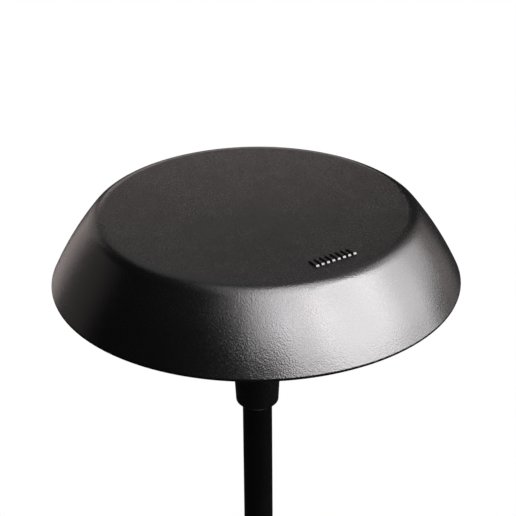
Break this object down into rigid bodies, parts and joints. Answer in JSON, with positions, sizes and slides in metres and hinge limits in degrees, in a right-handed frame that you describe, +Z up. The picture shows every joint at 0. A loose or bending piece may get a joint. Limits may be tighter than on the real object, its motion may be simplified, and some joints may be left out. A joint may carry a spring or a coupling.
{
  "type": "garden path lamp",
  "caption": "Low outdoor path lamp: a flared, flat-topped shade on a tapered neck turns on a slim stem with a round foot plate.",
  "frame": {"origin": "on the stem's axis, at the underside of the foot pad", "axes": "+Z up the stem, +Y towards the cable inlet at the back, +X to the right seen from the front"},
  "size_m": [0.2, 0.2, 0.3408],
  "materials": {
    "coated_aluminium": "matte",
    "coated_tube": "satin",
    "coated_steel": "matte",
    "white_liner": "matte",
    "white_hub": "matte",
    "bare_aluminium": "satin",
    "steel": "satin",
    "turned_brass": "satin",
    "seal_rubber": "matte",
    "foot_rubber": "matte",
    "opal_plastic": "satin",
    "white_board": "satin",
    "green_board": "satin",
    "led_package": "satin",
    "wire_insulation": "matte",
    "core_insulation": "matte",
    "connector_plastic": "matte",
    "black_plastic": "matte",
    "lead_sheath": "matte",
    "ferrite": "matte"
  },
  "bodies": {
    "stand": {"stem_set_screws": "steel", "socket_screws": "steel", "spigot_o_ring": "seal_rubber", "base_pad": "foot_rubber", "cable_grommet": "foot_rubber", "terminal_block": "connector_plastic", "lower_cores": "core_insulation", "swivel_washer": "black_plastic", "spigot": "turned_brass", "terminal_screws": "turned_brass", "stem": "coated_tube", "lead": "lead_sheath", "base_socket": "coated_steel", "base_plate": "coated_steel"},
    "head": {"shade": "coated_aluminium", "shade_studs": "steel", "reflector": "white_liner", "hub": "white_hub", "hub_nuts": "steel", "upper_seal": "seal_rubber", "diffuser": "opal_plastic", "lower_seal": "seal_rubber", "neck": "coated_aluminium", "lock_screw": "steel", "led_plate": "bare_aluminium", "led_board": "white_board", "leds": "led_package", "board_screws": "steel", "led_wires": "wire_insulation", "tie_rod": "steel", "tie_nut": "steel", "driver_board": "green_board", "driver_plug": "connector_plastic", "driver_chip": "black_plastic", "driver_inductor": "ferrite", "driver_capacitors": "bare_aluminium", "upper_cores": "core_insulation"}
  },
  "joints": [
    {"name": "head_turn", "type": "hinge", "parent": "stand", "child": "head", "pos_m": [0, 0, 0.245], "axis": [0, 0, 1], "range_deg": [-155, 155]}
  ]
}
